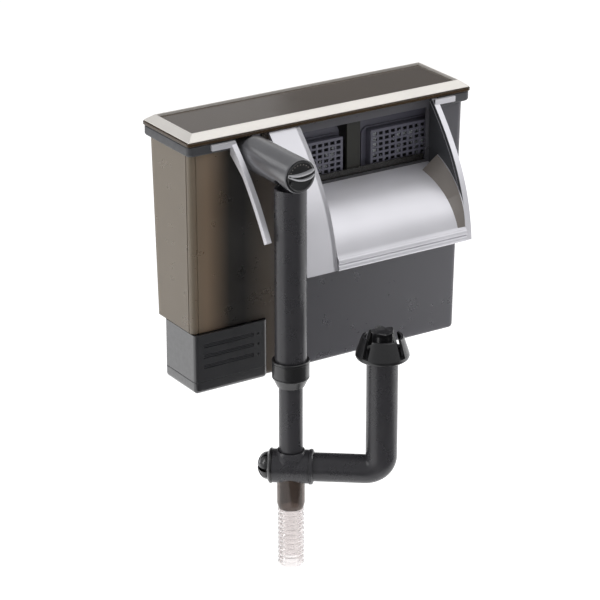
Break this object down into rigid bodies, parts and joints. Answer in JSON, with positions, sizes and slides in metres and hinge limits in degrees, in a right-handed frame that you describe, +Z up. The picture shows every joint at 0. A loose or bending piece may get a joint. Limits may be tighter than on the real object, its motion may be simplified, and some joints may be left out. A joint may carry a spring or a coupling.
{
  "type": "hang on back filter",
  "caption": "Hang-on-back aquarium filter: smoke box with lid and pump outside the glass, curved spillway, telescopic intake pipe and floating surface skimmer inside the tank.",
  "frame": {"origin": "middle of the flat seat under the spillway that stands on the top edge of the tank glass", "axes": "+Z up, +X to the right as seen from inside the tank (along the glass), +Y away from the tank"},
  "size_m": [0.242, 0.1732, 0.3222],
  "materials": {
    "smoke_clear": "smoke-tinted clear plastic, polished",
    "smoke_dark": "dark smoke plastic, polished",
    "rim_grey": "opaque grey plastic, satin",
    "tube_smoke": "dark smoke plastic pipe, satin",
    "black_plastic": "black plastic, satin",
    "pump_grey": "dark grey plastic, satin",
    "silver": "metallised silver plastic, polished",
    "trim_silver": "bright silver plastic, satin",
    "cartridge_grey": "light grey plastic",
    "floss": "white polyester floss",
    "foam": "coarse open-cell foam",
    "clear_hose": "clear corrugated plastic",
    "clear_plastic": "clear plastic strip",
    "rubber": "black rubber",
    "ceramic": "white ceramic",
    "ferrite": "sintered ferrite",
    "steel": "stacked lamination steel",
    "copper": "enamelled copper winding"
  },
  "bodies": {
    "housing": {"housing_body": "smoke_clear", "housing_rim": "rim_grey", "spillway_chute": "silver", "intake_shield": "silver", "side_fin": "silver", "left_hook_arm": "silver", "rim_hook_left": "black_plastic", "rim_hook_right": "black_plastic", "bio_sponge": "foam", "centre_guide": "black_plastic", "chamber_wall": "smoke_dark", "weir_strip": "clear_plastic", "intake_head": "tube_smoke", "inner_downpipe": "tube_smoke", "upper_tube": "tube_smoke", "tube_collar": "black_plastic", "telescope_seal": "rubber", "pump_housing": "pump_grey", "pump_base_cover": "pump_grey", "cable_gland": "rubber", "stator_core": "steel", "stator_coil": "copper", "rotor_can": "pump_grey", "can_seal": "rubber", "lower_bushing": "rubber", "upper_bushing": "rubber", "impeller_shaft": "ceramic", "impeller_cover": "tube_smoke"},
    "lid": {"lid_window": "smoke_dark", "lid_trim": "trim_silver"},
    "cartridge_left": {"cartridge_frame_left": "cartridge_grey", "floss_pad_left": "floss"},
    "cartridge_right": {"cartridge_frame_right": "cartridge_grey", "floss_pad_right": "floss"},
    "flow_control": {"flow_knob": "black_plastic", "flow_valve": "black_plastic"},
    "telescope": {"lower_tube": "tube_smoke"},
    "tee": {"skimmer_tee": "tube_smoke", "tee_end_ring": "tube_smoke", "tee_cap_ring": "black_plastic", "corrugated_hose": "clear_hose"},
    "tee_control": {"tee_knob": "black_plastic", "tee_valve": "black_plastic"},
    "skimmer_arm": {"skimmer_elbow": "tube_smoke"},
    "skimmer_float": {"skimmer_head": "black_plastic", "skimmer_sleeve": "tube_smoke", "skimmer_plug": "black_plastic"},
    "impeller": {"impeller": "black_plastic", "rotor_magnet": "ferrite"}
  },
  "joints": [
    {"name": "lid_lift", "type": "slide", "parent": "housing", "child": "lid", "axis": [0, 0, 1], "range_m": [0, 0.12]},
    {"name": "cartridge_left_lift", "type": "slide", "parent": "housing", "child": "cartridge_left", "axis": [0, 0, 1], "range_m": [0, 0.06]},
    {"name": "cartridge_right_lift", "type": "slide", "parent": "housing", "child": "cartridge_right", "axis": [0, 0, 1], "range_m": [0, 0.06]},
    {"name": "flow_knob_turn", "type": "hinge", "parent": "housing", "child": "flow_control", "pos_m": [-0.0685, -0.0606, 0.0452], "axis": [0, -1, 0], "range_deg": [0, 90]},
    {"name": "telescope_slide", "type": "slide", "parent": "housing", "child": "telescope", "axis": [0, 0, 1], "range_m": [-0.04, 0.02]},
    {"name": "tee_swivel", "type": "hinge", "parent": "telescope", "child": "tee", "pos_m": [-0.0685, -0.048, -0.1794], "axis": [0, 0, 1], "range_deg": [-120, 50]},
    {"name": "tee_knob_turn", "type": "hinge", "parent": "tee", "child": "tee_control", "pos_m": [-0.0685, -0.048, -0.1794], "axis": [-0.7934, 0.6088, 0], "range_deg": [0, 90]},
    {"name": "skimmer_tilt", "type": "hinge", "parent": "tee", "child": "skimmer_arm", "pos_m": [-0.0685, -0.048, -0.1794], "axis": [0.7934, -0.6088, 0], "range_deg": [-20, 35]},
    {"name": "skimmer_float_slide", "type": "slide", "parent": "skimmer_arm", "child": "skimmer_float", "axis": [0, 0, 1], "range_m": [0, 0.012]},
    {"name": "impeller_spin", "type": "hinge", "parent": "housing", "child": "impeller", "pos_m": [-0.0685, 0.028, -0.0848], "axis": [0, 0, 1], "continuous": true}
  ],
  "couplings": [
    {"joint": "cartridge_left_lift", "follows": "lid_lift", "ratio": 0.5},
    {"joint": "cartridge_right_lift", "follows": "lid_lift", "ratio": 0.5}
  ]
}
